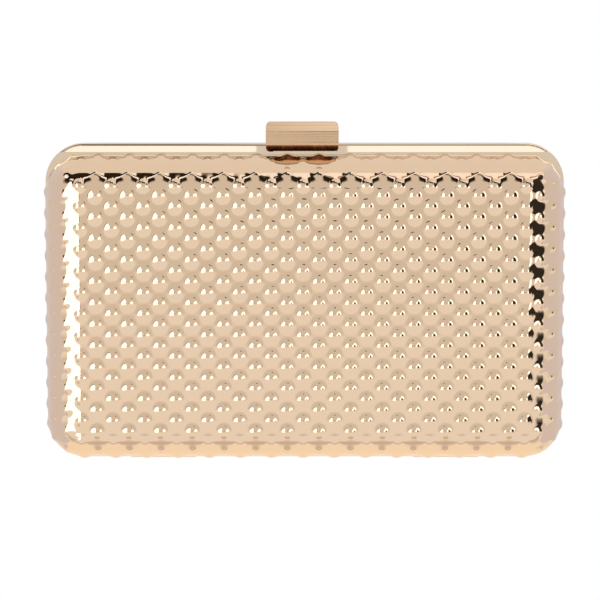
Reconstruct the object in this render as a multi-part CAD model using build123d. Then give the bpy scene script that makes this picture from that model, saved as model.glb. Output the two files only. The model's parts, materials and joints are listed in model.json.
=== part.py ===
"""Hard box clutch: two embossed metal half shells in frames, two barrel hinges and a tilting bar clasp.

The bag lies on its rear face.  X runs along its width, Y from the hinge edge to the clasp edge, and Z
out of the front face.  The origin is the centre of the rear face.  All sizes are millimetres.
"""

from build123d import *
import os

# ---- driving dimensions -------------------------------------------------------------------------
SHELL_WIDTH = 190.4        # X, over the dome tips
SHELL_HEIGHT = 112.6       # Y, over the dome tips
BAG_DEPTH = 46.0           # Z, rear face to front face, over the dome tips
MID = BAG_DEPTH / 2        # height of the parting plane
SEAM = 0.2                 # gap between the two closed frames
CORNER_RADIUS = 15.0       # corners of the shell in plan, over the dome tips
FACE_RADIUS = 11.0         # roll from the face into the side wall

SHELL_WALL = 2.2           # dome height and pressed sheet together
FRAME_THICK = 2.6          # each frame, along Z
FRAME_RISE = 4.2           # how far the frames stand above their own outline on the clasp edge
FRAME_SET_BACK = 1.1       # frame's outline inside the dome tips on the other three edges
LEDGE_SLOPE = 9.5          # degrees, the visible ledge of each frame falls away from its shell
LEDGE_FLAT_HALF_WIDTH = 11.4   # the ledge stays flat under the clasp's fittings
LEDGE_CUT_REACH = 9.0      # the wedge that slopes the ledge: its length along Y
LEDGE_CUT_HEIGHT = 2.0
FRAME_INSET = 5.6          # frame's clear opening, measured in from the shell's outline
FRAME_ROUND = 1.1          # rounded outer edge of the sloping ledges
FLANGE_INSET = 2.3
FLANGE_WALL = 0.9
FLANGE_DEPTH = 3.5         # locating flange that stands inside the shell

BOARD_INSET = 3.3
BOARD_WALL = 1.2
PADDING_THICK = 1.5
LINING_INSET = 4.6
LINING_WALL = 0.5
LAYER_GAP = 0.1            # between the layers glued into a shell, and between seated pieces
OVERSHOOT = 1.0            # how far a cutter runs past the solid it cuts

POCKET_WIDTH = 112.0
POCKET_LOW_Y = -42.0
POCKET_HIGH_Y = 14.0
POCKET_SPACE = 1.0
POCKET_WALL = 0.9

HINGE_X = 52.0             # centre of each barrel hinge
HINGE_LENGTH = 24.0
HINGE_OUTBOARD = 0.1       # axis beyond the frames' outline
KNUCKLE_RADIUS = 1.2
KNUCKLE_GAP = 0.2
HINGE_PIN_RADIUS = 0.6
HINGE_PIN_HEAD_RADIUS = 0.9
HINGE_PIN_HEAD = 0.5       # length of each head
HINGE_PIN_HEAD_GAP = 0.05  # between head and knuckle
RUNNING_CLEARANCE = 0.05
NOTCH_RADIUS = 1.6         # room for the knuckles in both frames
NOTCH_END_ROOM = 0.8       # room for the pin's heads
LEAF_THICK = 0.8
LEAF_INNER_INSET = 3.5
LEAF_OUTER_INSET = 2.0
RIVET_RADIUS = 0.42
RIVET_HEAD_RADIUS = 0.7
RIVET_FIT = 0.02
HINGE_RIVET_X = 8.0

CLASP_WIDTH = 26.3
CLASP_SHIFT = -0.9         # the clasp sits a little left of the middle
CLASP_TOP = 7.6            # top of the bar above the frames
CLASP_FRONT = 7.0          # front face of the bar, out from the parting plane
CLASP_REAR = 5.4
LIP_DROP = 2.7             # how far the lip hangs below the frames' top
FACE_LOW = 0.4             # lower edge of the bar's front face, below the frames' top
TOP_BEVEL = 2.7            # height of the bevel above the front face
BEVEL_DEPTH = 2.6
REAR_BEVEL = 1.8
LIP_BACK = 3.6             # back of the lip, out from the parting plane
LIP_TIP = 0.4              # flat at the lip's lower edge
BAR_CORNER_RADIUS = 1.6    # the bar's rounded corners, seen from the front
UNDERSIDE_GAP = 0.6        # between the bar and the frames' top
BARREL_RADIUS = 2.4        # rounded back of the bar, about its pin
PIVOT_BACK = 3.0           # pivot behind the parting plane
CLASP_PIN_RADIUS = 0.8
CLASP_PIN_SUNK = 0.25      # the pin's ends lie inside the bar's ends
EAR_X = 8.0
EAR_THICK = 1.8
EAR_RADIUS = 2.1
SLOT_SIDE_GAP = 0.3
SLOT_RADIUS = 2.6
SADDLE_HALF_WIDTH = 11.0
SADDLE_THICK = 1.2
WINDOW_HALF_WIDTH = 4.8
STRIKE_HALF_WIDTH = 9.0
STRIKE_THICK = 0.6
STRIKE_MARGIN = 0.2        # between the plate's edges and the ledge's
SADDLE_RIVET_X = 4.2
STRIKE_RIVET_X = 5.6
SPRING_HALF = 3.6          # half the coil's length along the pin
SPRING_WIRE = 0.35         # wire radius
SPRING_RADIUS = 1.5        # coil radius, at the wire's centre
SPRING_LEG = 3.8
SPRING_LEG_RADIUS = 0.315
SPRING_SEAT_LIFT = 0.1     # the fixed leg leaves the coil a little above its lowest point
SPRING_ROOM = 0.15         # around the moving leg, in the bar
SPRING_END_ROOM = 0.3

# ---- worked out ----------------------------------------------------------------------------------
HALF_WIDTH = SHELL_WIDTH / 2
HALF_HEIGHT = SHELL_HEIGHT / 2
FRAME_LOW_Y = FRAME_SET_BACK - HALF_HEIGHT
FRAME_TOP_Y = FRAME_RISE - FRAME_LOW_Y
FRAME_FACE = MID - SEAM / 2                      # rear frame's mating face
FRAME_BACK = FRAME_FACE - FRAME_THICK            # where the rear shell ends
HINGE_Y = FRAME_LOW_Y - HINGE_OUTBOARD
PIVOT_Y = FRAME_TOP_Y + UNDERSIDE_GAP + BARREL_RADIUS
PIVOT_Z = MID - PIVOT_BACK
CLASP_TOP_Y = FRAME_TOP_Y + CLASP_TOP
LIP_Y = FRAME_TOP_Y - LIP_DROP
RIVET_ROW_Y = FRAME_LOW_Y + (LEAF_INNER_INSET + LEAF_OUTER_INSET) / 2
CLASP_RIVET_Y = (HALF_HEIGHT + FRAME_TOP_Y) / 2 + LAYER_GAP
KNUCKLE_LENGTH = (HINGE_LENGTH - 2 * KNUCKLE_GAP) / 3


# ---- small helpers ---------------------------------------------------------------------------------
def box(x_low, x_high, y_low, y_high, z_low, z_high):
    """A plain box between its six limits."""
    centre = ((x_low + x_high) / 2, (y_low + y_high) / 2, (z_low + z_high) / 2)
    return Pos(*centre) * Box(x_high - x_low, y_high - y_low, z_high - z_low)


def cylinder_x(radius, x_low, x_high, y, z):
    """A cylinder along X."""
    length = x_high - x_low
    return Pos((x_low + x_high) / 2, y, z) * Rot(0, 90, 0) * Cylinder(radius, length)


def cylinder_z(radius, x, y, z_low, z_high):
    """A cylinder along Z."""
    return Pos(x, y, (z_low + z_high) / 2) * Cylinder(radius, z_high - z_low)


def outline(inset, z_low, z_high, rise=0.0):
    """The shell's rounded outline, moved in by inset and extruded from z_low to z_high."""
    width = SHELL_WIDTH - 2 * inset
    height = SHELL_HEIGHT - 2 * inset + rise
    sketch = Pos(0, rise / 2) * RectangleRounded(width, height, CORNER_RADIUS - inset)
    return Pos(0, 0, z_low) * extrude(sketch, z_high - z_low)


def bowl(inset, z_low, z_high):
    """A solid block inside the outline, with its lower edge rolled over."""
    block = outline(inset, z_low, z_high)
    lower_edges = block.faces().sort_by(Axis.Z)[0].edges()
    return fillet(lower_edges, FACE_RADIUS - inset)


def tray(inset, wall, z_low, z_high):
    """An open tray that follows the shell, with the same wall on its floor and sides."""
    return bowl(inset, z_low, z_high) - bowl(inset + wall, z_low + wall, z_high + OVERSHOOT)


def to_front(solid):
    """The same piece in the front half."""
    return mirror(solid, about=Plane.XY.offset(MID))


def rivet(x, y, z_end, z_face, grow=0.0):
    """A countersunk rivet, its head flush with z_face."""
    head = RIVET_HEAD_RADIUS - RIVET_RADIUS
    direction = 1 if z_face > z_end else -1
    shank_low = min(z_end, z_face)
    shank_high = max(z_end, z_face)
    shank = cylinder_z(RIVET_RADIUS + grow, x, y, shank_low, shank_high)
    cone = Cone(RIVET_RADIUS + grow, RIVET_HEAD_RADIUS + grow, head)
    if direction < 0:
        cone = Rot(180, 0, 0) * cone
    return shank + Pos(x, y, z_face - direction * head / 2) * cone


# ---- shells and what is glued into them ------------------------------------------------------------
def make_shell():
    return tray(0, SHELL_WALL, 0, FRAME_BACK)


def make_board():
    floor = SHELL_WALL + LAYER_GAP
    return tray(BOARD_INSET, BOARD_WALL, floor, FRAME_BACK - LAYER_GAP)


def padding_floor():
    return SHELL_WALL + BOARD_WALL + 2 * LAYER_GAP


def lining_floor():
    return padding_floor() + PADDING_THICK + LAYER_GAP


def make_padding():
    return outline(FACE_RADIUS + LAYER_GAP, padding_floor(), padding_floor() + PADDING_THICK)


def make_lining():
    return tray(LINING_INSET, LINING_WALL, lining_floor(), FRAME_BACK - LAYER_GAP)


def make_pocket():
    """A slip pocket: a panel joined to the lining on three sides and open towards the clasp."""
    floor = lining_floor() + LINING_WALL
    half = POCKET_WIDTH / 2
    top = floor + POCKET_SPACE + POCKET_WALL
    panel = box(-half, half, POCKET_LOW_Y, POCKET_HIGH_Y, floor, top)
    inner_half = half - POCKET_WALL
    inner_low = POCKET_LOW_Y + POCKET_WALL
    mouth = POCKET_HIGH_Y + OVERSHOOT
    return panel - box(-inner_half, inner_half, inner_low, mouth, floor, floor + POCKET_SPACE)


# ---- frames ----------------------------------------------------------------------------------------
def hinge_ends(side):
    """The low and high X of the hinge on one side."""
    return side * HINGE_X - HINGE_LENGTH / 2, side * HINGE_X + HINGE_LENGTH / 2


def hinge_rivets(grow=0.0):
    """The rivets of both rear hinge leaves, or with grow the holes for them."""
    offsets = (-HINGE_RIVET_X, 0, HINGE_RIVET_X)
    places = [side * HINGE_X + offset for side in (-1, 1) for offset in offsets]
    return [rivet(x, RIVET_ROW_Y, FRAME_BACK + LAYER_GAP, FRAME_FACE, grow) for x in places]


def is_top_ledge_edge(edge):
    """Whether an edge runs along the outer side of a sloping ledge on the clasp edge."""
    centre = edge.center()
    on_top = centre.Y > (HALF_HEIGHT + FRAME_TOP_Y) / 2
    sloping = abs(centre.X) > LEDGE_FLAT_HALF_WIDTH
    return on_top and sloping and centre.Z < (FRAME_BACK + FRAME_FACE) / 2


def make_frame_plate():
    """The rear frame's flat part, still solid in the middle, with its sloping and rounded ledge."""
    plate = outline(FRAME_SET_BACK, FRAME_BACK, FRAME_FACE, FRAME_RISE)
    for side in (-1, 1):
        far = side * (HALF_WIDTH + OVERSHOOT)
        near = side * LEDGE_FLAT_HALF_WIDTH
        wedge = box(min(far, near), max(far, near), 0, LEDGE_CUT_REACH, -LEDGE_CUT_HEIGHT, 0)
        plate -= Pos(0, HALF_HEIGHT, FRAME_BACK) * Rot(LEDGE_SLOPE, 0, 0) * wedge
    edges = plate.edges().filter_by(Axis.X).filter_by(is_top_ledge_edge)
    return fillet(edges, FRAME_ROUND)


def make_flange():
    """The ring on the rear frame that stands inside the shell."""
    low = FRAME_BACK - FLANGE_DEPTH
    inner = FLANGE_INSET + FLANGE_WALL
    ring = outline(FLANGE_INSET, low, FRAME_BACK)
    return ring - outline(inner, low - OVERSHOOT, FRAME_BACK + OVERSHOOT)


def make_frame():
    """The rear frame: a flat ring with a locating flange, notched for the knuckles and leaves."""
    frame = make_frame_plate() + make_flange()
    frame -= outline(FRAME_INSET, FRAME_BACK - OVERSHOOT, FRAME_FACE + OVERSHOOT)
    leaf_low = FRAME_LOW_Y + LEAF_OUTER_INSET - OVERSHOOT
    leaf_high = FRAME_LOW_Y + LEAF_INNER_INSET + LAYER_GAP
    for side in (-1, 1):
        low, high = hinge_ends(side)
        low -= NOTCH_END_ROOM
        high += NOTCH_END_ROOM
        frame -= cylinder_x(NOTCH_RADIUS, low, high, HINGE_Y, MID)
        frame -= box(low, high, leaf_low, leaf_high, FRAME_FACE - LEAF_THICK, MID)
    for hole in hinge_rivets(RIVET_FIT):
        frame -= hole
    return frame


# ---- hinges ----------------------------------------------------------------------------------------
def knuckle_spans(side, outer):
    """The X limits of the knuckles: the two outer ones, or the middle one."""
    low, _ = hinge_ends(side)
    step = KNUCKLE_LENGTH + KNUCKLE_GAP
    places = (0, 2) if outer else (1,)
    return [(low + place * step, low + place * step + KNUCKLE_LENGTH) for place in places]


def make_leaf(side, outer):
    """A hinge leaf in the rear half's place, with its knuckles on the hinge axis."""
    low, high = hinge_ends(side)
    z_low = FRAME_FACE - LEAF_THICK
    outer_y = FRAME_LOW_Y + LEAF_OUTER_INSET
    leaf = box(low, high, outer_y, FRAME_LOW_Y + LEAF_INNER_INSET, z_low, FRAME_FACE)
    for start, end in knuckle_spans(side, outer):
        leaf += box(start, end, HINGE_Y, outer_y, z_low, FRAME_FACE)
        leaf += cylinder_x(KNUCKLE_RADIUS, start, end, HINGE_Y, MID)
    hole_radius = HINGE_PIN_RADIUS + RUNNING_CLEARANCE
    leaf -= cylinder_x(hole_radius, low - OVERSHOOT, high + OVERSHOOT, HINGE_Y, MID)
    for hole in hinge_rivets(RIVET_FIT):
        leaf -= hole
    return leaf


def make_hinge_pin(side):
    """A hinge pin with a small head beyond each end of the knuckles."""
    low, high = hinge_ends(side)
    start = low - HINGE_PIN_HEAD
    end = high + HINGE_PIN_HEAD
    pin = cylinder_x(HINGE_PIN_RADIUS, start, end, HINGE_Y, MID)
    pin += cylinder_x(HINGE_PIN_HEAD_RADIUS, start, low - HINGE_PIN_HEAD_GAP, HINGE_Y, MID)
    return pin + cylinder_x(HINGE_PIN_HEAD_RADIUS, high + HINGE_PIN_HEAD_GAP, end, HINGE_Y, MID)


# ---- clasp -----------------------------------------------------------------------------------------
def clasp_profile():
    """The bar's section in Y and Z: barrel at the back, hollow underneath, lip in front."""
    front = MID + CLASP_FRONT
    rear = MID - CLASP_REAR
    back_of_lip = MID + LIP_BACK
    under = FRAME_TOP_Y + UNDERSIDE_GAP
    face_low = FRAME_TOP_Y - FACE_LOW
    face_high = CLASP_TOP_Y - TOP_BEVEL
    rear_high = CLASP_TOP_Y - REAR_BEVEL
    corners = [(under, PIVOT_Z), (under, back_of_lip), (LIP_Y, back_of_lip)]
    corners += [(LIP_Y, back_of_lip + LIP_TIP), (face_low, front), (face_high, front)]
    corners += [(CLASP_TOP_Y, front - BEVEL_DEPTH), (CLASP_TOP_Y, rear + REAR_BEVEL)]
    corners += [(rear_high, rear), (PIVOT_Y, rear)]
    edges = [Line(start, end) for start, end in zip(corners[:-1], corners[1:])]
    edges.append(CenterArc((PIVOT_Y, PIVOT_Z), BARREL_RADIUS, 180, arc_size=90))
    return make_face(Plane.YZ * Wire(edges))


def clasp_pin_hole():
    """The bore for the clasp pin, long enough to cut the bar or the saddle."""
    reach = CLASP_WIDTH / 2 + OVERSHOOT
    return cylinder_x(CLASP_PIN_RADIUS + RUNNING_CLEARANCE, -reach, reach, PIVOT_Y, PIVOT_Z)


def spring_leg_slot():
    """The slot in the bar that takes the spring's moving leg."""
    x = SPRING_HALF - SPRING_WIRE
    y = PIVOT_Y + SPRING_RADIUS
    room = SPRING_WIRE + SPRING_ROOM
    top = PIVOT_Z + SPRING_LEG + SPRING_END_ROOM
    return box(x - room, x + room, y - room, y + room, PIVOT_Z, top)


def make_clasp_bar():
    """The bar, with slots for the saddle's ears and a window for the spring."""
    bar = extrude(clasp_profile(), CLASP_WIDTH / 2, both=True)
    plan = RectangleRounded(CLASP_WIDTH, CLASP_TOP_Y - LIP_Y, BAR_CORNER_RADIUS)
    bar &= Pos(0, (LIP_Y + CLASP_TOP_Y) / 2, 0) * extrude(plan, BAG_DEPTH)
    bar -= clasp_pin_hole()
    gap = EAR_THICK / 2 + SLOT_SIDE_GAP
    openings = [(-WINDOW_HALF_WIDTH, WINDOW_HALF_WIDTH)]
    openings += [(ear - gap, ear + gap) for ear in (-EAR_X, EAR_X)]
    for low, high in openings:
        bar -= cylinder_x(SLOT_RADIUS, low, high, PIVOT_Y, PIVOT_Z)
        bar -= box(low, high, LIP_Y, PIVOT_Y, 0, PIVOT_Z + SLOT_RADIUS)
    return bar - spring_leg_slot()


def make_clasp_spring():
    """A torsion spring about the pin: the closed coil, one leg on the saddle and one under the bar."""
    inner = SPRING_RADIUS - SPRING_WIRE
    reach = SPRING_HALF + OVERSHOOT
    coil = cylinder_x(SPRING_RADIUS + SPRING_WIRE, -SPRING_HALF, SPRING_HALF, PIVOT_Y, PIVOT_Z)
    coil -= cylinder_x(inner, -reach, reach, PIVOT_Y, PIVOT_Z)
    leg_x = SPRING_HALF - SPRING_WIRE
    leg = Cylinder(SPRING_LEG_RADIUS, SPRING_LEG)
    seat_z = PIVOT_Z - SPRING_RADIUS + SPRING_SEAT_LIFT
    fixed_leg = Pos(-leg_x, PIVOT_Y - SPRING_LEG / 2, seat_z) * Rot(90, 0, 0) * leg
    moving_leg = Pos(leg_x, PIVOT_Y + SPRING_RADIUS, PIVOT_Z + SPRING_LEG / 2) * leg
    return coil + fixed_leg + moving_leg


def make_clasp_pin():
    end = CLASP_WIDTH / 2 - CLASP_PIN_SUNK
    return cylinder_x(CLASP_PIN_RADIUS, -end, end, PIVOT_Y, PIVOT_Z)


def clasp_rivets(half_gap, z_end, z_face, grow=0.0):
    """The pair of rivets of the saddle or the strike, or with grow the holes for them."""
    places = (CLASP_SHIFT - half_gap, CLASP_SHIFT + half_gap)
    return [rivet(x, CLASP_RIVET_Y, z_end, z_face, grow) for x in places]


def make_saddle():
    """Riveted to the back of the rear frame, with two ears that carry the pin."""
    low_y = HALF_HEIGHT + LAYER_GAP
    saddle_back = FRAME_BACK - SADDLE_THICK
    saddle = box(-SADDLE_HALF_WIDTH, SADDLE_HALF_WIDTH, low_y, FRAME_TOP_Y, saddle_back, FRAME_BACK)
    for side in (-1, 1):
        x_low = side * EAR_X - EAR_THICK / 2
        x_high = side * EAR_X + EAR_THICK / 2
        saddle += box(x_low, x_high, low_y, PIVOT_Y, PIVOT_Z - EAR_RADIUS, FRAME_BACK)
        saddle += cylinder_x(EAR_RADIUS, x_low, x_high, PIVOT_Y, PIVOT_Z)
    return saddle - clasp_pin_hole()


def make_strike():
    """A wear plate on the front frame, under the lip of the bar."""
    face = BAG_DEPTH - FRAME_BACK
    low_y = HALF_HEIGHT + STRIKE_MARGIN
    high_y = FRAME_TOP_Y - STRIKE_MARGIN
    return box(-STRIKE_HALF_WIDTH, STRIKE_HALF_WIDTH, low_y, high_y, face, face + STRIKE_THICK)


# ---- assembly --------------------------------------------------------------------------------------
def join(solids):
    """Several separate solids as one group."""
    return Compound(children=[piece.solid() for piece in solids])


def trays():
    """The shells, boards, paddings and linings of both halves, and the pocket."""
    nodes = {}
    makers = {"shell": make_shell, "board": make_board, "padding": make_padding, "lining": make_lining}
    for name, maker in makers.items():
        nodes["rear_" + name] = maker()
        nodes["front_" + name] = to_front(nodes["rear_" + name])
    nodes["rear_pocket"] = make_pocket()
    return nodes


def frames_and_fittings():
    """Both frames, with the saddle and the strike riveted to them."""
    nodes = {}
    frame = make_frame()
    front_frame = to_front(frame)
    saddle_ends = (FRAME_FACE - LAYER_GAP, FRAME_BACK - SADDLE_THICK)
    strike_ends = (BAG_DEPTH - FRAME_FACE + LAYER_GAP, BAG_DEPTH - FRAME_BACK + STRIKE_THICK)
    saddle = Pos(CLASP_SHIFT, 0, 0) * make_saddle()
    strike = Pos(CLASP_SHIFT, 0, 0) * make_strike()
    for hole in clasp_rivets(SADDLE_RIVET_X, *saddle_ends, RIVET_FIT):
        frame -= hole
        saddle -= hole
    for hole in clasp_rivets(STRIKE_RIVET_X, *strike_ends, RIVET_FIT):
        front_frame -= hole
        strike -= hole
    nodes["rear_frame"] = frame
    nodes["front_frame"] = front_frame
    nodes["clasp_saddle"] = saddle
    nodes["clasp_strike"] = strike
    nodes["clasp_saddle_rivets"] = join(clasp_rivets(SADDLE_RIVET_X, *saddle_ends))
    nodes["clasp_strike_rivets"] = join(clasp_rivets(STRIKE_RIVET_X, *strike_ends))
    return nodes


def hinges():
    """The leaves, pins and rivets of both barrel hinges."""
    nodes = {}
    for side, word in ((-1, "left"), (1, "right")):
        nodes["hinge_rear_leaf_" + word] = make_leaf(side, outer=True)
        nodes["hinge_front_leaf_" + word] = to_front(make_leaf(side, outer=False))
        nodes["hinge_pin_" + word] = make_hinge_pin(side)
    nodes["rear_hinge_rivets"] = join(hinge_rivets())
    nodes["front_hinge_rivets"] = join([to_front(piece) for piece in hinge_rivets()])
    return nodes


def clasp_lever():
    """The tilting bar with its pin and spring."""
    makers = {"clasp_bar": make_clasp_bar, "clasp_pin": make_clasp_pin, "clasp_spring": make_clasp_spring}
    return {name: Pos(CLASP_SHIFT, 0, 0) * maker() for name, maker in makers.items()}


os.makedirs("parts", exist_ok=True)
for node, solid in {**trays(), **frames_and_fittings(), **hinges(), **clasp_lever()}.items():
    export_step(solid, "parts/" + node + ".step")
    print(node, round(solid.volume, 2))
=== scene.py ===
"""Looks of the hard box clutch: embossed mirror shells, satin lining, materials, studio and camera."""
import json
import math

import bmesh
import bpy
import numpy as np
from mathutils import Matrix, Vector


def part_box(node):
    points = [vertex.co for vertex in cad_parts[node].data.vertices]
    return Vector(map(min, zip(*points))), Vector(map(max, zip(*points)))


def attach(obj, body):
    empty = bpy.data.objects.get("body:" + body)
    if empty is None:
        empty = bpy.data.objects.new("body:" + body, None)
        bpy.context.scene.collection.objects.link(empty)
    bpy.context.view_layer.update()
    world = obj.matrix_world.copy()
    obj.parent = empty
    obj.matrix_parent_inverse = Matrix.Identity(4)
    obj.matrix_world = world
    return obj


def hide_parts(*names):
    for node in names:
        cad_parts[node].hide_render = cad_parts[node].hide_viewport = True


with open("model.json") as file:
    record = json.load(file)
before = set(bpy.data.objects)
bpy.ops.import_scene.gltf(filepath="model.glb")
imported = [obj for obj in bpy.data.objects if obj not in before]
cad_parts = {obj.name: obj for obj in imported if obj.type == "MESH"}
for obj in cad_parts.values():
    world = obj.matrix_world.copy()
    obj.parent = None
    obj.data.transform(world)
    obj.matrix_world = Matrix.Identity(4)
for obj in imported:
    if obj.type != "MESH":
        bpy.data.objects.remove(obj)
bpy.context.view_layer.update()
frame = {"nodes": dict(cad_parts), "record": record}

MM = 0.001

# ---- sizes, in metres ------------------------------------------------------------------------------
_, SHELL_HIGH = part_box("rear_shell")
FRONT_LOW, FRONT_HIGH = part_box("front_shell")
DEPTH = FRONT_HIGH.z
DOME_HEIGHT = 1.0 * MM
DOME_RADII = (0, 1.75 * MM, 2.2 * MM, 3.5 * MM)    # a round cap, a tight foot and a faint skirt
DOME_SLOPES = (0, 0.66, 0.13, 0)                   # steepness of a dome at those radii
PATTERN_X = -0.6 * MM      # the middle dome of the pattern
PATTERN_Y = -0.73 * MM
PITCH_X = 5.7 * MM         # half the pitch along a row
PITCH_Y = 3.88 * MM        # distance between rows
SHEET = 1.0 * MM           # thickness of the pressed sheet
OUT_X = SHELL_HIGH.x - DOME_HEIGHT - 0.05 * MM
OUT_Y = SHELL_HIGH.y - DOME_HEIGHT - 0.05 * MM
OUT_RADIUS = 13.9 * MM
FLAT_X = 80.3 * MM
FLAT_Y = 45.0 * MM
CREASE = math.radians(11)  # where the wall's curve starts, so that the face has a soft crease round it
GRID_X = 300
GRID_Y = 168
FAN = 21                   # steps round each corner of the wall
LEVELS = 38                # rows up the wall
INNER_STEP = 10            # the sheet's inner side keeps one wall row in this many
STEEP = math.radians(60)   # past this angle the pattern runs on down the steep part of the wall
RIM_FADE = 0.35            # how much lower the domes are at the rim
LAYER_DETAIL = 3           # the layers inside have a grid this much coarser
BOARD = (2.05 * MM, 2.75 * MM)    # depths of each layer below the undomed outside
PADDING = (2.8 * MM, 4.1 * MM)
LINING = (4.15 * MM, 4.55 * MM)
PADDING_SWELL = 0.6 * MM
PADDING_REACH = 0.35       # how far up the wall the padding goes
LINING_SWELL = 0.7 * MM
GATHER_X, GATHER_Y = 70, 36    # where the gathers at the corners begin, in millimetres
GATHER_RISE_X, GATHER_RISE_Y = 14, 10    # distances over which they grow, in millimetres
GATHERS = 34               # gathers in a full turn round a corner
POCKET_BASE = 6.75 * MM    # height of the pocket's sewn edges above the rear face
POCKET_SLACK = 3.0 * MM
POCKET_THICK = 0.35 * MM
POCKET_GRID = (85, 43)     # points across and up the pocket
HEM_RADIUS = 0.45 * MM
STITCH_INSET = 1.6 * MM
STITCH_LENGTH = 2.0 * MM
STITCH_GAP = 1.0 * MM
THREAD = 0.16 * MM         # radius of the sewing thread
THREAD_RINGS = 5
THREAD_SIDES = 6
TRIM_RADIUS = 0.6 * MM     # piping along the lining's edge
WIRE = 0.3 * MM            # radius of the spring's wire
COIL_STEPS = 20            # points in one turn of the spring
COIL_PITCH = 2.15          # distance between turns, in wire radii
PIVOT_Y = 62.4 * MM        # axis of the clasp
PIVOT_Z = 20.0 * MM
UNDERCUT_Z = 29.0 * MM     # the clasp bar's front is undercut behind and below this; painted shade darkens it there
UNDERCUT_Y = 59.4 * MM
UNDERCUT_SHADE_SOFT = 0.4 * MM   # width over which the undercut's painted shade fades
UNDERCUT_SHADE_STRENGTH = 0.86
UNDERCUT_SHADE_COLOUR = (0.16, 0.06, 0.03)
EDGES = {"rear_frame": 0.9 * MM, "front_frame": 0.9 * MM, "clasp_bar": 0.35 * MM}    # rounding of edges
BEVEL_SEGMENTS = 3
SHARP_EDGE = math.radians(35)

# ---- studio: sizes in metres, colours as the mirrors see them ----------------------------------------
CEILING = (0.68, 0.63, 0.56)
HINGE_WALL = (0.85, 0.80, 0.735)
HINGE_BAND = (0.62, 0.53, 0.44)
BACKDROP = (1.05, 0.97, 0.90)
FLOOR_HINGE_END = (0.96, 0.83, 0.66)
FLOOR_CLASP_END = (0.80, 0.73, 0.65)
FLOOR_SIDES = (0.68, 0.64, 0.65)
FLOOR_STRIP = (0.60, 0.48, 0.39)
FLOOR_HALF = 3.0           # half the table's width
DARK = (0.02, 0.016, 0.012)
FLAG = (0.03, 0.025, 0.02)
LEANING_PLATES = {         # X and Z of the lower edge and of the upper edge, range in Y, colour, strength
    "left_soft_box": ((-0.40, 0.16), (-0.34, 0.62), (-0.12, 0.34), (1.0, 0.99, 0.96), 1.75),
    "left_flag": ((-0.33, 0.66), (-0.31, 0.76), (-0.04, 0.24), FLAG, 1.0),
    "right_soft_box": ((0.34, 0.40), (0.30, 0.62), (-0.06, 0.20), (1.0, 0.98, 0.95), 1.8),
    "right_flag": ((0.36, 0.15), (0.36, 0.38), (-0.05, 0.50), FLAG, 1.0),
}
EDGE_HEIGHT = 0.048        # of the plates over the clasp edge
EDGE_PLATES = {            # range in X, range in Y, colour, strength
    "edge_strip_left": ((-0.10, -0.018), (0.0605, 0.067), (1.0, 0.96, 0.90), 1.1),
    "edge_strip_right": ((0.016, 0.10), (0.0605, 0.067), (1.0, 0.96, 0.90), 1.1),
    "edge_flag_left": ((-0.11, -0.008), (0.067, 0.075), (0.015, 0.01, 0.008), 1.0),
    "edge_flag_right": ((0.008, 0.10), (0.067, 0.075), (0.42, 0.28, 0.20), 1.0),
}
LENS_CENTRE = (0.015, 0.09, 0.60)
LENS_RADII = (0.034, 0.04)
LENS_POINTS = 24
LENS_COLOUR = (0.02, 0.015, 0.01)
CAMERA_LENS = 151.2        # focal length in millimetres
CAMERA_TILT = math.radians(7)
CAMERA_DISTANCE = 0.9
CAMERA_TARGET = (-0.0017, 0.0047, DEPTH)


# ---- nodes and materials ---------------------------------------------------------------------------
class Tree:
    """Short calls for building a node tree."""

    def __init__(self, tree):
        """Starts with an empty tree."""
        self.tree = tree
        tree.nodes.clear()

    @classmethod
    def reopen(cls, tree):
        """Go on with a tree that already has nodes."""
        made = cls.__new__(cls)
        made.tree = tree
        return made

    def add(self, kind, inputs=None, **settings):
        """A new node with its settings and inputs filled in."""
        node = self.tree.nodes.new("ShaderNode" + kind)
        for name, value in settings.items():
            setattr(node, name, value)
        for name, value in (inputs or {}).items():
            self.put(node.inputs[name], value)
        return node

    def put(self, socket, value):
        """Links another node's socket, or sets a plain value."""
        if isinstance(value, bpy.types.NodeSocket):
            self.tree.links.new(value, socket)
        else:
            socket.default_value = value

    def math(self, operation, *values):
        """The result of one operation."""
        node = self.add("Math", operation=operation)
        for socket, value in zip(node.inputs, values):
            self.put(socket, value)
        return node.outputs[0]

    def step(self, value, low, high):
        """0 below low, 1 above high, smooth between."""
        node = self.add("MapRange", interpolation_type="SMOOTHSTEP")
        self.put(node.inputs["Value"], value)
        node.inputs["From Min"].default_value = low
        node.inputs["From Max"].default_value = high
        return node.outputs["Result"]

    def below(self, value, low, high):
        """1 below low, 0 above high, smooth between."""
        return self.math("SUBTRACT", 1.0, self.step(value, low, high))

    def band(self, value, rise, fall):
        """0, then 1 from the end of rise to the start of fall, then 0; rise and fall are ranges."""
        return self.math("SUBTRACT", self.step(value, *rise), self.step(value, *fall))

    def mix(self, factor, first, second):
        """The first colour where factor is 0, the second where it is 1."""
        node = self.add("Mix", data_type="RGBA")
        self.put(node.inputs[0], factor)
        self.put(node.inputs[6], first)
        self.put(node.inputs[7], second)
        return node.outputs[2]


def rgb(red, green, blue):
    """An opaque colour."""
    return (red, green, blue, 1.0)


def add_object(name, data):
    """An object with this data, in the scene."""
    piece = bpy.data.objects.new(name, data)
    bpy.context.scene.collection.objects.link(piece)
    return piece


def principled(name):
    """A material with its Principled shader linked, its tree and its object coordinates."""
    material = bpy.data.materials.new(name)
    material.use_nodes = True
    tree = Tree(material.node_tree)
    shader = tree.add("BsdfPrincipled")
    output = tree.add("OutputMaterial")
    tree.put(output.inputs["Surface"], shader.outputs[0])
    place = tree.add("TexCoord").outputs["Object"]
    return material, tree, shader, place


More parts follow.
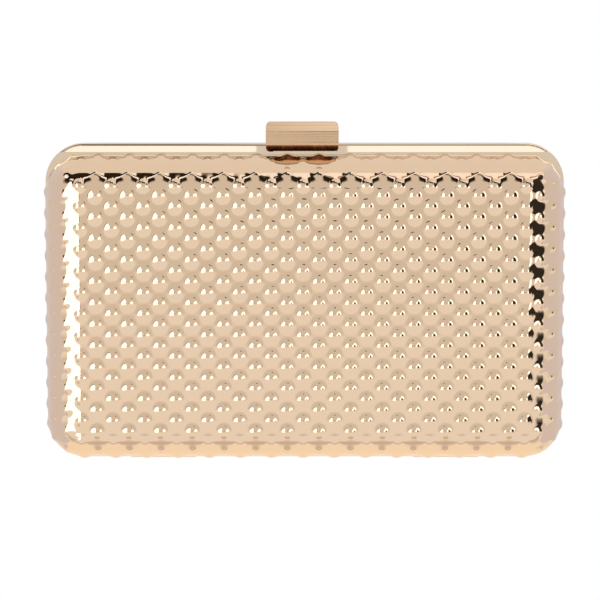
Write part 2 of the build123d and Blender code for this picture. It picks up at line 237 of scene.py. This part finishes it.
def noise(tree, place, scale, detail=3.0, stretch=(1, 1, 1)):
    """Cloudy noise about 0.5; a small stretch draws it out into lines."""
    mapping = tree.add("Mapping", {"Vector": place, "Scale": stretch})
    node = tree.add("TexNoise", {"Vector": mapping.outputs[0], "Scale": scale, "Detail": detail})
    return node.outputs["Fac"]


def spread(tree, value, low, high):
    """value from 0.3 to 0.7 mapped to low to high."""
    limits = {"From Min": 0.3, "From Max": 0.7, "To Min": low, "To Max": high}
    return tree.add("MapRange", {"Value": value, **limits}).outputs["Result"]


def bump(tree, shader, height, distance):
    """Fine relief in the shading only."""
    node = tree.add("Bump", {"Height": height, "Distance": distance, "Strength": 1.0})
    tree.put(shader.inputs["Normal"], node.outputs[0])


def metal(name, colour, second, rough_low, rough_high, wave=0.0):
    """Polished plated metal with faint cloudiness in its colour and gloss."""
    material, tree, shader, place = principled(name)
    clouds = noise(tree, place, scale=45, detail=4)
    tree.put(shader.inputs["Base Color"], tree.mix(clouds, rgb(*colour), rgb(*second)))
    shader.inputs["Metallic"].default_value = 1.0
    smears = noise(tree, place, scale=160, detail=5)
    tree.put(shader.inputs["Roughness"], spread(tree, smears, rough_low, rough_high))
    if wave:
        bump(tree, shader, noise(tree, place, scale=90, detail=2), wave)
    return material


def brushed(name, colour, second, rough):
    """Metal with fine brush lines along X."""
    material, tree, shader, place = principled(name)
    lines = noise(tree, place, scale=900, detail=4, stretch=(0.012, 1, 1))
    tree.put(shader.inputs["Base Color"], tree.mix(spread(tree, lines, 0, 1), rgb(*colour), rgb(*second)))
    shader.inputs["Metallic"].default_value = 1.0
    tree.put(shader.inputs["Roughness"], spread(tree, lines, rough * 0.7, rough * 1.3))
    bump(tree, shader, lines, 0.00004)
    return material


def paint_undercut_shade(material):
    """Painted shade: darker, redder colour in the undercut of the clasp bar, standing in for the shade that
    falls there.
    """
    tree = Tree.reopen(material.node_tree)
    shader = next(node for node in tree.tree.nodes if node.type == "BSDF_PRINCIPLED")
    base = shader.inputs["Base Color"].links[0].from_socket
    place = tree.add("TexCoord").outputs["Object"]
    _, y, z = tree.add("SeparateXYZ", {"Vector": place}).outputs
    low = tree.below(z, UNDERCUT_Z, UNDERCUT_Z + UNDERCUT_SHADE_SOFT)
    near = tree.below(y, UNDERCUT_Y - UNDERCUT_SHADE_SOFT, UNDERCUT_Y)
    shade_mask = tree.math("MULTIPLY", tree.math("MULTIPLY", low, near), UNDERCUT_SHADE_STRENGTH)
    tree.put(shader.inputs["Base Color"], tree.mix(shade_mask, base, rgb(*UNDERCUT_SHADE_COLOUR)))


def satin(name, colour, second):
    """Lining satin: a fine diagonal weave with a soft sheen."""
    material, tree, shader, place = principled(name)
    weave = tree.add("TexWave", {"Vector": place, "Scale": 900.0, "Distortion": 0.4, "Detail": 1.0},
                     wave_type="BANDS", bands_direction="DIAGONAL")
    cloth = noise(tree, place, scale=60, detail=4)
    tree.put(shader.inputs["Base Color"], tree.mix(cloth, rgb(*colour), rgb(*second)))
    tree.put(shader.inputs["Roughness"], spread(tree, cloth, 0.36, 0.5))
    shader.inputs["Sheen Weight"].default_value = 0.5
    shader.inputs["Sheen Roughness"].default_value = 0.35
    shader.inputs["Specular IOR Level"].default_value = 0.6
    bump(tree, shader, weave.outputs["Fac"], 0.00003)
    return material


def fibre(name, colour, second, rough):
    """Card or wadding: matt, with loose fibres."""
    material, tree, shader, place = principled(name)
    strands = noise(tree, place, scale=700, detail=6, stretch=(1, 0.3, 1))
    tree.put(shader.inputs["Base Color"], tree.mix(strands, rgb(*colour), rgb(*second)))
    shader.inputs["Roughness"].default_value = rough
    bump(tree, shader, strands, 0.0002)
    return material


LOOKS = {                  # each slot's maker, its two colours, and the maker's other numbers
    "rose_gold_shell": (metal, (0.93, 0.735, 0.56), (0.96, 0.77, 0.60), 0.025, 0.05, 0.00001),
    "polished_frame": (metal, (0.97, 0.84, 0.69), (0.99, 0.87, 0.73), 0.06, 0.10),
    "brushed_clasp": (brushed, (0.89, 0.65, 0.45), (0.93, 0.70, 0.50), 0.16),
    "hinge_metal": (brushed, (0.80, 0.60, 0.44), (0.88, 0.68, 0.52), 0.28),
    "pin_steel": (brushed, (0.62, 0.60, 0.57), (0.72, 0.70, 0.67), 0.25),
    "spring_steel": (brushed, (0.42, 0.42, 0.43), (0.52, 0.52, 0.53), 0.3),
    "card_board": (fibre, (0.34, 0.28, 0.21), (0.44, 0.37, 0.29), 0.9),
    "wadding": (fibre, (0.80, 0.77, 0.71), (0.88, 0.86, 0.81), 0.95),
    "satin_lining": (satin, (0.62, 0.43, 0.33), (0.70, 0.50, 0.39)),
}
MATERIALS = {slot: maker(slot, *numbers) for slot, (maker, *numbers) in LOOKS.items()}
# painted shade in the clasp bar's undercut
paint_undercut_shade(MATERIALS["brushed_clasp"])


def paint(piece, slot):
    """Gives a piece its slot's material and no other."""
    piece.data.materials.clear()
    piece.data.materials.append(MATERIALS[slot])


def make_piece(name, points, faces, slot_name):
    """A painted piece with consistent outward faces and smooth shading."""
    mesh = bpy.data.meshes.new(name)
    mesh.from_pydata(points, [], faces)
    work = bmesh.new()
    work.from_mesh(mesh)
    bmesh.ops.recalc_face_normals(work, faces=work.faces)
    work.to_mesh(mesh)
    work.free()
    mesh.shade_smooth()
    piece = add_object(name, mesh)
    paint(piece, slot_name)
    return piece


# ---- embossed shells -------------------------------------------------------------------------------
def face_height(half):
    """Z of a half's flat face, without its domes."""
    return DEPTH - DOME_HEIGHT if half == "front" else DOME_HEIGHT


def outline_x(y):
    """Half width of the shell's plan outline at a given Y."""
    past = np.maximum(np.abs(y) - (OUT_Y - OUT_RADIUS), 0)
    return OUT_X - OUT_RADIUS + np.sqrt(np.maximum(OUT_RADIUS ** 2 - past ** 2, 0))


def corner_targets(fan):
    """Points along the outline's corner, from beside the flat face's corner to above it."""
    centre = np.array([OUT_X - OUT_RADIUS, OUT_Y - OUT_RADIUS])
    start = math.asin((FLAT_Y - centre[1]) / OUT_RADIUS)
    end = math.pi / 2 + max(0.0, (centre[0] - FLAT_X) / OUT_RADIUS)
    angles = np.linspace(start, end, fan + 1)
    return centre + OUT_RADIUS * np.stack([np.cos(angles), np.sin(angles)], 1)


def wall_columns(xs, ys, fan):
    """The wall's columns: roots on the flat face's edge, feet on the outline, and the roots' numbers."""
    last_x = len(xs) - 1
    last_y = len(ys) - 1
    corner = corner_targets(fan)
    roots, feet, index = [], [], []

    def place(row, column, foot):
        """Adds one column."""
        roots.append((xs[column], ys[row]))
        feet.append(foot)
        index.append(row * len(xs) + column)

    for row in range(last_y + 1):
        place(row, last_x, (outline_x(ys[row]), ys[row]))
    for foot in corner[1:-1]:
        place(last_y, last_x, foot)
    for column in range(last_x, -1, -1):
        place(last_y, column, (xs[column], OUT_Y))
    for foot in corner[::-1][1:-1]:
        place(last_y, 0, foot * (-1, 1))
    for row in range(last_y, -1, -1):
        place(row, 0, (-outline_x(ys[row]), ys[row]))
    for foot in corner[1:-1]:
        place(0, 0, -foot)
    for column in range(last_x + 1):
        place(0, column, (xs[column], -OUT_Y))
    for foot in corner[::-1][1:-1]:
        place(0, last_x, foot * (1, -1))
    return np.array(roots), np.array(feet), np.array(index)


def dome_profile(steps=200):
    """Distances from a dome's middle, rising, and its height at each: its slopes added up from its edge."""
    radii = np.linspace(DOME_RADII[-1], 0, steps)
    slopes = np.interp(radii, DOME_RADII, DOME_SLOPES)
    heights = np.cumsum(slopes) * (radii[0] - radii[1])
    return radii[::-1], heights[::-1]


def dome(u, v, drop):
    """Height of the staggered domes at a place of the pattern: round caps that flow into the sheet.

    drop is 0 on the flat face and 1 at the rim, where the domes are lower.
    """
    u = u - PATTERN_X
    v = v - PATTERN_Y
    nearest = np.full(u.shape, DOME_RADII[-1])
    for shift in (0, 1):
        row = 2 * np.round((v / PITCH_Y - shift) / 2) + shift
        column = 2 * np.round((u / PITCH_X - shift) / 2) + shift
        nearest = np.minimum(nearest, np.hypot(u - column * PITCH_X, v - row * PITCH_Y))
    return np.interp(nearest, *dome_profile()) * (1 - RIM_FADE * drop)


def vertex_normals(points, faces):
    """Area-weighted normals of a quad mesh."""
    first, second, third, fourth = (points[faces[:, corner]] for corner in range(4))
    diagonal = np.cross(third - first, fourth - second)
    normals = np.zeros_like(points)
    for corner in range(4):
        np.add.at(normals, faces[:, corner], diagonal)
    return normals / np.linalg.norm(normals, axis=1)[:, None]


def grid_quads(number):
    """The quads between the numbered points of a grid."""
    corners = [number[:-1, :-1], number[:-1, 1:], number[1:, 1:], number[1:, :-1]]
    return np.stack(corners, -1).reshape(-1, 4)


def ring_quads(first, second):
    """The quads between two closed loops of points."""
    return np.stack([first, second, np.roll(second, -1), np.roll(first, -1)], 1)


def without_repeats(roots, feet, index):
    """The wall's columns without those that repeat the column before them."""
    keep = np.ones(len(index), bool)
    for i in range(len(index)):
        same = index[i] == index[i - 1] and np.allclose(feet[i], feet[i - 1])
        keep[i] = not same
    return roots[keep], feet[keep], index[keep]


def shell_surface(face_z, rim_z, detail=1):
    """Outer surface without domes.

    Returns its points, its quads, each point's place in the pattern, how far each has dropped from the face
    (0) to the rim (1), and the numbers of the points in each level of the wall.
    """
    xs = np.linspace(-FLAT_X, FLAT_X, GRID_X // detail + 1)
    ys = np.linspace(-FLAT_Y, FLAT_Y, GRID_Y // detail + 1)
    grid_x, grid_y = np.meshgrid(xs, ys)
    flat = np.stack([grid_x.ravel(), grid_y.ravel(), np.full(grid_x.size, face_z)], 1)
    faces = [grid_quads(np.arange(flat.shape[0]).reshape(grid_x.shape))]

    roots, feet, index = without_repeats(*wall_columns(xs, ys, FAN // detail))
    steps = LEVELS // detail
    points, places, levels = [flat], [flat[:, :2]], [index]
    drop = [np.zeros(len(flat))]
    for level in range(1, steps + 1):
        angle = CREASE + (math.pi / 2 - CREASE) * level / steps
        out = (math.sin(angle) - math.sin(CREASE)) / (1 - math.sin(CREASE))
        reach = out + math.cos(STEEP) * max(0.0, angle - STEEP)
        plan = roots + out * (feet - roots)
        z = face_z + (rim_z - face_z) * (1 - math.cos(angle) / math.cos(CREASE))
        points.append(np.column_stack([plan, np.full(len(plan), z)]))
        places.append(roots + reach * (feet - roots))
        drop.append(np.full(len(plan), level / steps))
        levels.append(flat.shape[0] + (level - 1) * len(index) + np.arange(len(index)))
    for inner, outer in zip(levels[:-1], levels[1:]):
        faces.append(ring_quads(inner, outer))
    joined = [np.concatenate(rows) for rows in (points, faces, places, drop)]
    return (*joined, levels)


def outward_of(points, faces, face_z, rim_z):
    """Normals that point out of the bag, whichever half it is."""
    sign = 1 if face_z > rim_z else -1
    return vertex_normals(points, faces) * sign


def quads_to_faces(quads):
    """Plain lists of corners, with doubled corners and faces without area left out."""
    kept = [[int(i) for i in dict.fromkeys(quad)] for quad in quads.tolist()]
    return [face for face in kept if len(face) > 2]


def inner_side(points, outward, levels, rim_z):
    """The sheet's inner side, coarser than the outside: its points, and its loops of them from the rim in."""
    used = levels[::-1][::INNER_STEP]
    loops = used if used[-1] is levels[0] else used + [levels[0]]
    inner_points, inner_loops = [], []
    start = len(points)
    for loop in loops:
        unique, back = np.unique(loop, return_inverse=True)
        moved = points[unique] - outward[unique] * SHEET
        if loop is levels[-1]:
            moved[:, 2] = rim_z
        inner_points.append(moved)
        inner_loops.append(start + back)
        start += len(unique)
    return inner_points, inner_loops


def embossed_shell(half, rim_z):
    """A pressed half shell: its domed outside, its smooth inside and the rim between them."""
    points, faces, places, drop, levels = shell_surface(face_height(half), rim_z)
    outward = outward_of(points, faces, face_height(half), rim_z)
    lift = dome(places[:, 0], places[:, 1], drop)
    lift[levels[-1]] = 0
    outer = points + outward * lift[:, None]

    inner_points, inner_loops = inner_side(points, outward, levels, rim_z)
    loops = [levels[-1]] + inner_loops
    quads = [ring_quads(first, second) for first, second in zip(loops[:-1], loops[1:])]
    floor = list(dict.fromkeys(inner_loops[-1].tolist()))
    all_points = np.concatenate([outer] + inner_points)
    all_faces = quads_to_faces(np.concatenate([faces] + quads)) + [floor]
    shell = make_piece(f"{half}_shell_embossed", all_points.tolist(), all_faces, "rose_gold_shell")
    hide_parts(f"{half}_shell")
    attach(shell, f"{half}_half")


# ---- soft layers -----------------------------------------------------------------------------------
def two_sided(name, near, far, faces, rim, slot_name):
    """A thin closed piece: two sides of the same make, joined round their rim."""
    count = len(near)
    following = np.roll(rim, -1)
    edge = np.stack([rim, following, following + count, rim + count], 1)
    quads = np.concatenate([faces, faces[:, ::-1] + count, edge])
    return make_piece(name, np.concatenate([near, far]).tolist(), quads_to_faces(quads), slot_name)


def layer(half, kind, slot_name, depths, top, softness=0.0, reach=1.0):
    """A layer inside a shell that follows its shape, from depths[0] to depths[1] below the outside.

    top is the z where its wall ends. softness is how far the inner side swells and puckers. A reach below 1
    ends the layer part of the way up the wall, where it thins to an edge.
    """
    face_z = face_height(half)
    points, faces, places, drop, levels = shell_surface(face_z, top, LAYER_DETAIL)
    outward = outward_of(points, faces, face_z, top)
    if reach < 1:
        kept_levels = max(1, round((len(levels) - 1) * reach))
        levels = levels[:kept_levels + 1]
        count = int(levels[-1].max()) + 1
        faces = faces[faces.max(axis=1) < count]
        points, places, drop, outward = points[:count], places[:count], drop[:count], outward[:count]
        fade = 1 - (drop / drop.max()) ** 2
    else:
        fade = np.ones(len(points))
    pucker = softness * wrinkles(places, drop) * (1 - drop ** 8)
    near = points - outward * depths[0]
    far = points - outward * (depths[0] + (depths[1] - depths[0]) * fade)[:, None]
    if kind == "lining":
        near = near - outward * pucker[:, None]
    far = far - outward * pucker[:, None]
    piece = two_sided(f"{half}_{kind}_soft", near, far, faces, levels[-1], slot_name)
    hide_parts(f"{half}_{kind}")
    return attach(piece, f"{half}_half")


def wave(along, across, length, bend, bend_length):
    """A sine along one way, bent by a slower one across it. A length is a whole wave's over two pi."""
    return np.sin(along / length + bend * np.sin(across / bend_length))


def wrinkles(places, drop):
    """0 to 1: soft swells over the floor and gathers that run up the wall at the corners."""
    u, v = places[:, 0] / MM, places[:, 1] / MM
    wide = wave(u, v, length=13, bend=0.6, bend_length=11)
    long = wave(v, u, length=9, bend=0.8, bend_length=17)
    fine = wave(u, v, length=2.3, bend=1.2, bend_length=4)
    swell = 0.25 + 0.12 * wide + 0.12 * long
    past_x = np.abs(u) - GATHER_X
    past_y = np.abs(v) - GATHER_Y
    corner = np.clip(past_x / GATHER_RISE_X, 0, 1) * np.clip(past_y / GATHER_RISE_Y, 0, 1)
    gathers = 0.5 + 0.5 * np.sin(np.arctan2(past_y, past_x) * GATHERS)
    along = 0.5 + 0.5 * fine * np.clip(drop * 3, 0, 1)
    return np.clip(swell + corner * gathers * 0.6 + 0.12 * along, 0, 1)


def make_lining(half, top):
    """The satin in one half over the padding, with piping round its rim."""
    piece = layer(half, "lining", "satin_lining", LINING, top, LINING_SWELL)
    loop = rim_loop(half, top, sum(LINING) / 2)
    body = f"{half}_half"
    trim = add_curve(f"{half}_lining_piping", loop, TRIM_RADIUS, "satin_lining", body, closed=True)


# ---- studio ----------------------------------------------------------------------------------------
def glow(name, tree, colour):
    """An emission shader that mirrors see; the camera sees plain white instead."""
    reflected = tree.add(name, {"Color": colour, "Strength": 1.0})
    seen = tree.add(name, {"Color": rgb(1, 1, 1), "Strength": 1.0})
    blend = tree.add("MixShader")
    tree.put(blend.inputs[0], tree.add("LightPath").outputs["Is Camera Ray"])
    tree.put(blend.inputs[1], reflected.outputs[0])
    tree.put(blend.inputs[2], seen.outputs[0])
    return blend.outputs[0]


def plate(name, points, colour, strength):
    """A flat glowing or black plate that only mirrors and light rays meet."""
    mesh = bpy.data.meshes.new(name)
    mesh.from_pydata(points, [], [tuple(range(len(points)))])
    piece = add_object(name, mesh)
    material = bpy.data.materials.new(name)
    material.use_nodes = True
    tree = Tree(material.node_tree)
    shader = tree.add("Emission", {"Color": rgb(*colour), "Strength": strength})
    tree.put(tree.add("OutputMaterial").inputs["Surface"], shader.outputs[0])
    mesh.materials.append(material)
    piece.visible_camera = False
    piece.visible_shadow = False


def leaning_plate(name, bottom, top, y_range, colour, strength):
    """A plate whose lower and upper edges run along Y, each at its own X and Z."""
    y_low, y_high = y_range
    edges = [(bottom, y_low), (bottom, y_high), (top, y_high), (top, y_low)]
    plate(name, [(x, y, z) for (x, z), y in edges], colour, strength)


def flat_plate(name, x_range, y_range, z, colour, strength):
    """A level plate."""
    x_low, x_high = x_range
    y_low, y_high = y_range
    points = [(x_low, y_low, z), (x_high, y_low, z), (x_high, y_high, z), (x_low, y_high, z)]
    plate(name, points, colour, strength)


def make_floor():
    """The table: warm towards the hinge edge, cooler at the sides, brown in a strip along the clasp edge."""
    mesh = bpy.data.meshes.new("floor")
    corners = [(-1, -1), (1, -1), (1, 1), (-1, 1)]
    mesh.from_pydata([(x * FLOOR_HALF, y * FLOOR_HALF, 0) for x, y in corners], [], [(0, 1, 2, 3)])
    floor = add_object("floor", mesh)
    material = bpy.data.materials.new("floor_white")
    material.use_nodes = True
    tree = Tree(material.node_tree)
    place = tree.add("TexCoord").outputs["Object"]
    x, y, _ = tree.add("SeparateXYZ", {"Vector": place}).outputs
    side = tree.math("SUBTRACT", tree.math("ABSOLUTE", x), SHELL_HIGH.x - SHELL_HIGH.y)
    away = tree.math("SUBTRACT", side, tree.math("ABSOLUTE", y))
    ends = tree.mix(tree.step(y, -0.02, 0.02), rgb(*FLOOR_HINGE_END), rgb(*FLOOR_CLASP_END))
    colour = tree.mix(tree.step(away, -0.012, 0.012), ends, rgb(*FLOOR_SIDES))
    strip = tree.band(y, (0.056, 0.060), (0.068, 0.078))
    between_corners = tree.band(x, (-0.080, -0.074), (0.074, 0.080))
    strip = tree.math("MULTIPLY", strip, between_corners)
    colour = tree.mix(strip, colour, rgb(*FLOOR_STRIP))
    tree.put(tree.add("OutputMaterial").inputs["Surface"], glow("Emission", tree, colour))
    mesh.materials.append(material)


def make_lights():
    """Soft boxes and flags at both sides, strips and flags over the clasp edge, and the lens overhead."""
    for name, (bottom, top, y_range, colour, strength) in LEANING_PLATES.items():
        leaning_plate(name, bottom, top, y_range, colour, strength)
    for name, (x_range, y_range, colour, strength) in EDGE_PLATES.items():
        flat_plate(name, x_range, y_range, EDGE_HEIGHT, colour, strength)
    x, y, z = LENS_CENTRE
    turns = [2 * math.pi * i / LENS_POINTS for i in range(LENS_POINTS)]
    ring = [(x + LENS_RADII[0] * math.cos(t), y + LENS_RADII[1] * math.sin(t), z) for t in turns]
    plate("lens", ring, LENS_COLOUR, 1.0)


def make_world():
    """The room by direction.

    The ceiling is tan and turns to cream towards the hinge edge, with a darker band low down. Towards the
    clasp edge and the right there is a dark band above the horizon. Below it, towards the clasp edge, the
    backdrop is bright at the right and dark at the left.
    """
    world = bpy.data.worlds.new("studio")
    bpy.context.scene.world = world
    world.use_nodes = True
    tree = Tree(world.node_tree)
    split = tree.add("SeparateXYZ", {"Vector": tree.add("TexCoord").outputs["Generated"]})
    x, y, z = split.outputs
    clasp_side = tree.step(y, 0.30, 0.45)

    behind = tree.math("MULTIPLY", tree.band(x, (-0.36, -0.20), (0.42, 0.52)), clasp_side)
    right = tree.math("MULTIPLY", tree.step(x, 0.20, 0.40), tree.band(y, (-0.35, -0.10), (0.45, 0.55)))
    above_horizon = tree.band(z, (0.22, 0.30), (0.52, 0.64))
    dark = tree.math("MULTIPLY", above_horizon, tree.math("MAXIMUM", behind, right))

    horizon = tree.math("MULTIPLY", tree.below(z, 0.26, 0.34), clasp_side)
    backdrop = tree.mix(tree.below(x, -0.05, -0.01), rgb(*BACKDROP), rgb(*DARK))
    hinge_side = tree.below(y, -0.60, -0.45)
    low_band = tree.math("MULTIPLY", tree.band(z, (0.0, 0.2), (0.30, 0.44)), hinge_side)

    colour = tree.mix(tree.step(y, -0.17, -0.09), rgb(*HINGE_WALL), rgb(*CEILING))
    colour = tree.mix(horizon, colour, backdrop)
    colour = tree.mix(dark, colour, rgb(*DARK))
    colour = tree.mix(low_band, colour, rgb(*HINGE_BAND))
    tree.put(tree.add("OutputWorld").inputs["Surface"], glow("Background", tree, colour))


def make_camera():
    """A long lens on the front face, tilted a little towards the clasp edge."""
    data = bpy.data.cameras.new("camera")
    data.sensor_width = 36
    data.lens = CAMERA_LENS
    data.clip_start = 0.01
    camera = add_object("camera", data)
    x, y, z = CAMERA_TARGET
    back = CAMERA_DISTANCE * math.sin(CAMERA_TILT)
    up = CAMERA_DISTANCE * math.cos(CAMERA_TILT)
    camera.location = (x, y + back, z + up)
    camera.rotation_euler = (-CAMERA_TILT, 0, 0)
    bpy.context.scene.camera = camera


# ---- sewing and spring -----------------------------------------------------------------------------
def add_curve(name, points, radius, slot_name, body, closed=False):
    """A round wire or piping along points."""
    curve = bpy.data.curves.new(name, "CURVE")
    curve.dimensions = "3D"
    curve.bevel_depth = radius
    curve.bevel_resolution = 3
    line = curve.splines.new("POLY")
    line.points.add(len(points) - 1)
    for point, place in zip(line.points, points):
        point.co = (*place, 1)
    line.use_cyclic_u = closed
    piece = add_object(name, curve)
    paint(piece, slot_name)
    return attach(piece, body)


def rim_loop(half, top, depth):
    """Points round the rim of a half, depth inside the undomed outside."""
    face_z = face_height(half)
    points, faces, _, _, levels = shell_surface(face_z, top, LAYER_DETAIL)
    outward = outward_of(points, faces, face_z, top)
    loop = points[levels[-1]] - outward[levels[-1]] * depth
    loop[:, 2] = top
    return loop.tolist()


def pocket_height(u, v):
    """Z of the patch pocket's cloth, which is sewn down on three sides and slack at its mouth.

    u runs from 0 to 1 across the pocket, and v from 0 to 1 up to the mouth.
    """
    arch = np.sin(math.pi * u)
    slack = arch ** 0.7 * (0.25 * np.sin(math.pi * v) + v ** 2.2)
    folds = 0.10 * np.sin(u * 31 + 2.5 * v) * v ** 1.5 * arch
    return POCKET_BASE + POCKET_SLACK * (slack + folds)


def pocket_cloth(low, high):
    """The pocket's patch of cloth and the middle line of its mouth."""
    columns, rows = POCKET_GRID
    us, vs = np.meshgrid(np.linspace(0, 1, columns), np.linspace(0, 1, rows))
    x = low.x + (high.x - low.x) * us
    y = low.y + (high.y - low.y) * vs
    z = pocket_height(us, vs)
    top = np.stack([x, y, z], -1).reshape(-1, 3)
    under = top - (0, 0, POCKET_THICK)
    number = np.arange(len(top)).reshape(us.shape)
    rim = np.concatenate([number[0, :-1], number[:-1, -1], number[-1, :0:-1], number[:0:-1, 0]])
    cloth = two_sided("rear_pocket_cloth", top, under, grid_quads(number), rim, "satin_lining")
    mouth = np.stack([x[-1], y[-1], z[-1] - POCKET_THICK / 2], 1)
    return cloth, mouth.tolist()


def make_pocket():
    """The satin patch pocket on the rear half's lining, with its folded mouth and its stitches."""
    low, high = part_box("rear_pocket")
    width, height = high.x - low.x, high.y - low.y
    cloth, mouth = pocket_cloth(low, high)
    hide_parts("rear_pocket")
    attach(cloth, "rear_half")
    hem = add_curve("rear_pocket_hem", mouth, HEM_RADIUS, "satin_lining", "rear_half")
    stitches = pocket_stitches(low, width, height)


def pocket_stitches(low, width, height):
    """Short raised threads along the three sewn sides of the pocket."""
    left, right = STITCH_INSET, width - STITCH_INSET
    path = [(left, height), (left, STITCH_INSET), (right, STITCH_INSET), (right, height)]
    points, faces = [], []
    for (x0, y0), (x1, y1) in zip(path[:-1], path[1:]):
        length = math.hypot(x1 - x0, y1 - y0)
        along = np.array([(x1 - x0) / length, (y1 - y0) / length])
        across = np.array([-along[1], along[0]])
        for place in np.arange(STITCH_GAP, length - STITCH_LENGTH, STITCH_LENGTH + STITCH_GAP):
            start = np.array([x0, y0]) + along * place
            add_stitch(points, faces, low, start, along, across, width, height)
    piece = make_piece("rear_pocket_stitches", points, faces, "satin_lining")
    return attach(piece, "rear_half")


def add_stitch(points, faces, low, start, along, across, width, height):
    """One thread: an arched bar with six sides."""
    first = len(points)
    rings, sides = THREAD_RINGS, THREAD_SIDES
    for ring in range(rings):
        share = ring / (rings - 1)
        centre = start + along * STITCH_LENGTH * share
        u = min(max(centre[0] / width, 0), 1)
        v = min(max(centre[1] / height, 0), 1)
        arch = 1.2 * math.sin(math.pi * share) - 0.4
        z = float(pocket_height(np.array(u), np.array(v))) + THREAD * arch
        for side in range(sides):
            turn = 2 * math.pi * side / sides
            spot = centre + across * THREAD * math.cos(turn)
            points.append((low.x + spot[0], low.y + spot[1], z + THREAD * math.sin(turn)))
    for ring in range(rings - 1):
        for side in range(sides):
            a = first + ring * sides + side
            b = first + ring * sides + (side + 1) % sides
            faces.append((a, b, b + sides, a + sides))
    faces.append(tuple(range(first + sides - 1, first - 1, -1)))
    faces.append(tuple(range(first + (rings - 1) * sides, first + rings * sides)))


def make_spring():
    """The clasp's torsion spring: a close coil on the pivot, with a leg on the saddle and one on the bar."""
    low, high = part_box("clasp_spring")
    start_x = low.x + WIRE
    end_x = high.x - WIRE
    span = high.x - low.x - 2 * WIRE
    radius = high.y - PIVOT_Y - WIRE
    steps = COIL_STEPS * int(span / (COIL_PITCH * WIRE))
    points = [(start_x, low.y + WIRE, PIVOT_Z - radius)]
    for i in range(steps + 1):
        turn = 2 * math.pi * i / COIL_STEPS
        x = start_x + span * i / steps
        points.append((x, PIVOT_Y - radius * math.sin(turn), PIVOT_Z - radius * math.cos(turn)))
    points.append((end_x, PIVOT_Y - radius, PIVOT_Z))
    points.append((end_x, PIVOT_Y - radius, high.z - WIRE))
    coil = add_curve("clasp_spring_coil", points, WIRE, "spring_steel", "rear_half")
    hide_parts("clasp_spring")


def round_edges(piece, width):
    """Small rounded edges that catch light."""
    bevel = piece.modifiers.new("edges", "BEVEL")
    bevel.width = width
    bevel.segments = BEVEL_SEGMENTS
    bevel.limit_method = "ANGLE"
    bevel.angle_limit = SHARP_EDGE
    bevel.harden_normals = True
    piece.data.shade_smooth()


# ---- assembly --------------------------------------------------------------------------------------
scene = bpy.context.scene
scene.view_settings.view_transform = "Standard"
make_camera()
make_world()
make_floor()
make_lights()

slots = {part["node"]: part["material_slot"] for part in frame["record"]["subparts"]}
for node, piece in frame["nodes"].items():
    paint(piece, slots[node])

for node, width in EDGES.items():
    round_edges(frame["nodes"][node], width)

for half in ("rear", "front"):
    board_low, board_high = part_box(f"{half}_board")
    top = board_high.z if half == "rear" else board_low.z
    layer(half, "board", "card_board", BOARD, top)
    pad = layer(half, "padding", "wadding", PADDING, top, PADDING_SWELL, reach=PADDING_REACH)
    make_lining(half, top)

make_pocket()
make_spring()
embossed_shell("rear", SHELL_HIGH.z)
embossed_shell("front", FRONT_LOW.z)
